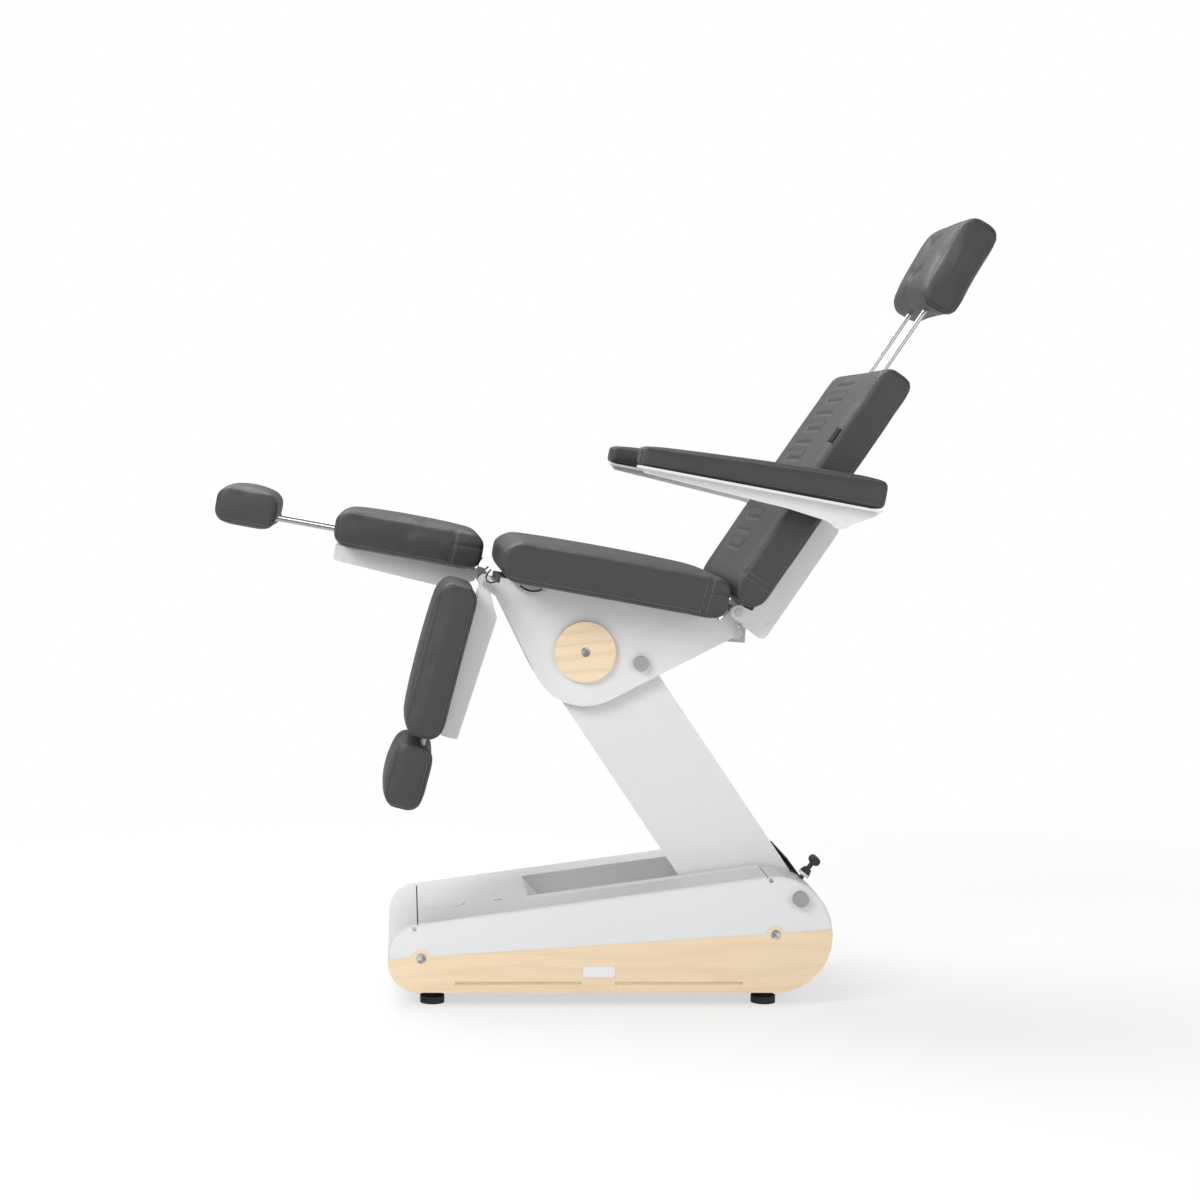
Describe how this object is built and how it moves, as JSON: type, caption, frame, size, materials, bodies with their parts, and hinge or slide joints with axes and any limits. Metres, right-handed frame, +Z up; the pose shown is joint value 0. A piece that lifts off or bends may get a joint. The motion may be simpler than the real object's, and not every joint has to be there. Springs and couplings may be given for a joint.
{
  "type": "podiatry chair",
  "caption": "Podiatry chair on a lifting base with a slanted arm, tilting seat, reclining back, sliding headrest, swinging armrests and folding leg rests with sliding foot pads.",
  "frame": {"origin": "on the floor, in the middle of the four levelling feet", "axes": "+Z up, +X toward the head end, the foot end toward -X, the near side toward -Y"},
  "size_m": [1.6397, 0.754, 1.6179],
  "materials": {
    "white_steel": "satin powder coat",
    "dark_steel": "matt paint",
    "wood": "satin lacquer",
    "upholstery": "matt grained leatherette",
    "chrome": "polished",
    "steel": "brushed",
    "grey_plastic": "matt",
    "black_plastic": "matt",
    "white_plastic": "matt",
    "black_rubber": "matt"
  },
  "bodies": {
    "base": {"floor_frame": "dark_steel", "wood_panel_near": "wood", "wood_panel_far": "wood", "side_cover_near": "white_steel", "side_cover_far": "white_steel", "top_cover": "white_steel", "front_end_cover": "white_steel", "rear_end_cover": "white_steel", "arm_well": "white_steel", "levelling_feet": "black_rubber", "panel_screws": "steel", "badge_plates": "white_plastic", "axle_bearings": "dark_steel", "axle_caps": "grey_plastic", "control_box": "grey_plastic", "mains_inlet": "black_plastic", "hand_control_sockets": "black_plastic", "arm_boot": "black_rubber", "lift_actuator_body": "dark_steel"},
    "foot_button": {"foot_button": "white_steel"},
    "t_handle": {"t_handle": "black_plastic"},
    "lift_rod": {"lift_actuator_rod": "steel"},
    "arm": {"arm_shell": "white_steel", "lower_axle": "steel", "upper_axle": "steel"},
    "link": {"levelling_link": "dark_steel"},
    "carrier": {"levelling_carrier": "dark_steel"},
    "seat": {"seat_plate_near": "white_steel", "seat_plate_far": "white_steel", "seat_deck": "wood", "wood_discs": "wood", "disc_bolts": "steel", "side_pins": "grey_plastic", "seat_catch": "chrome", "knee_hinge_pin": "steel", "back_hinge_pin": "steel", "seat_cushion": "upholstery"},
    "tilt_drive": {"tilt_actuator_body": "dark_steel"},
    "tilt_rod": {"tilt_actuator_rod": "steel"},
    "back_drive": {"back_actuator_body": "dark_steel"},
    "back_rod": {"back_actuator_rod": "steel"},
    "back": {"back_plates": "white_steel", "back_board": "wood", "head_guides": "dark_steel", "back_cushion": "upholstery", "armrest_hubs": "steel"},
    "head": {"head_rods": "chrome", "head_cushion": "upholstery"},
    "armrest_near": {"armrest_frame_near": "white_steel", "armrest_pad_near": "upholstery"},
    "armrest_far": {"armrest_frame_far": "white_steel", "armrest_pad_far": "upholstery"},
    "leg_near": {"leg_frame_near": "white_steel", "leg_cushion_near": "upholstery"},
    "leg_far": {"leg_frame_far": "white_steel", "leg_cushion_far": "upholstery"},
    "foot_near": {"foot_rods_near": "chrome", "foot_pad_near": "upholstery"},
    "foot_far": {"foot_rods_far": "chrome", "foot_pad_far": "upholstery"}
  },
  "joints": [
    {"name": "lift", "type": "hinge", "parent": "base", "child": "arm", "pos_m": [0.408, 0, 0.22], "axis": [0, 1, 0], "range_deg": [-32, 4]},
    {"name": "link_swing", "type": "hinge", "parent": "base", "child": "link", "pos_m": [0.393, 0, 0.162], "axis": [0, 1, 0], "range_deg": [-32, 4]},
    {"name": "carrier_level", "type": "hinge", "parent": "arm", "child": "carrier", "pos_m": [-0.0216, 0, 0.713], "axis": [0, 1, 0], "range_deg": [-5, 32]},
    {"name": "seat_tilt", "type": "hinge", "parent": "carrier", "child": "seat", "pos_m": [-0.0216, 0, 0.713], "axis": [0, 1, 0], "range_deg": [-10.4, 14.6]},
    {"name": "back_recline", "type": "hinge", "parent": "seat", "child": "back", "pos_m": [0.292, 0, 0.796], "axis": [0, 1, 0], "range_deg": [-5, 55]},
    {"name": "head_slide", "type": "slide", "parent": "back", "child": "head", "axis": [0.5678, 0, 0.8231], "range_m": [-0.11, 0.03]},
    {"name": "armrest_swing_near", "type": "hinge", "parent": "back", "child": "armrest_near", "pos_m": [0.47127, -0.335, 0.99986], "axis": [0, 1, 0], "range_deg": [-55, 60]},
    {"name": "armrest_swing_far", "type": "hinge", "parent": "back", "child": "armrest_far", "pos_m": [0.47127, 0.335, 0.99986], "axis": [0, 1, 0], "range_deg": [-55, 60]},
    {"name": "leg_fold_near", "type": "hinge", "parent": "seat", "child": "leg_near", "pos_m": [-0.228, -0.142, 0.857], "axis": [0, -1, 0], "range_deg": [-85.6, 10]},
    {"name": "leg_fold_far", "type": "hinge", "parent": "seat", "child": "leg_far", "pos_m": [-0.228, 0.142, 0.857], "axis": [0, -1, 0], "range_deg": [0, 95.6]},
    {"name": "foot_slide_near", "type": "slide", "parent": "leg_near", "child": "foot_near", "axis": [-0.2546, 0, -0.967], "range_m": [0, 0.12]},
    {"name": "foot_slide_far", "type": "slide", "parent": "leg_far", "child": "foot_far", "axis": [-0.9837, 0, 0.1797], "range_m": [-0.11, 0.01]},
    {"name": "t_handle_turn", "type": "hinge", "parent": "base", "child": "t_handle", "pos_m": [0.4296, -0.14, 0.2545], "axis": [0.6157, 0, 0.788], "range_deg": [-90, 90]},
    {"name": "foot_button_press", "type": "slide", "parent": "base", "child": "foot_button", "axis": [-0.134, 0, 0.991], "range_m": [-0.004, 0], "stiffness_N_per_m": 3000, "springref_m": 0.001},
    {"name": "lift_rod_slide", "type": "slide", "parent": "base", "child": "lift_rod", "axis": [0.9969, 0, 0.0789], "range_m": [-0.008, 0.046]},
    {"name": "tilt_drive_swing", "type": "hinge", "parent": "seat", "child": "tilt_drive", "pos_m": [0.128, 0, 0.77], "axis": [0, 1, 0], "range_deg": [-6, 5]},
    {"name": "tilt_rod_slide", "type": "slide", "parent": "tilt_drive", "child": "tilt_rod", "axis": [-0.9974, 0, 0.0722], "range_m": [-0.014, 0.018]},
    {"name": "back_drive_swing", "type": "hinge", "parent": "seat", "child": "back_drive", "pos_m": [-0.112, 0.068, 0.768], "axis": [0, 1, 0], "range_deg": [-1, 1]},
    {"name": "back_rod_slide", "type": "slide", "parent": "back_drive", "child": "back_rod", "axis": [0.9974, 0, -0.0722], "range_m": [-0.063, 0.008]}
  ],
  "couplings": [
    {"joint": "link_swing", "follows": "lift", "ratio": 1},
    {"joint": "carrier_level", "follows": "lift", "ratio": -1},
    {"joint": "lift_rod_slide", "follows": "lift", "m_per_rad": -0.079402},
    {"joint": "tilt_drive_swing", "follows": "seat_tilt", "ratio": -0.2},
    {"joint": "tilt_rod_slide", "follows": "seat_tilt", "m_per_rad": 0.066321},
    {"joint": "back_drive_swing", "follows": "back_recline", "ratio": 0.01},
    {"joint": "back_rod_slide", "follows": "back_recline", "m_per_rad": -0.063247}
  ]
}
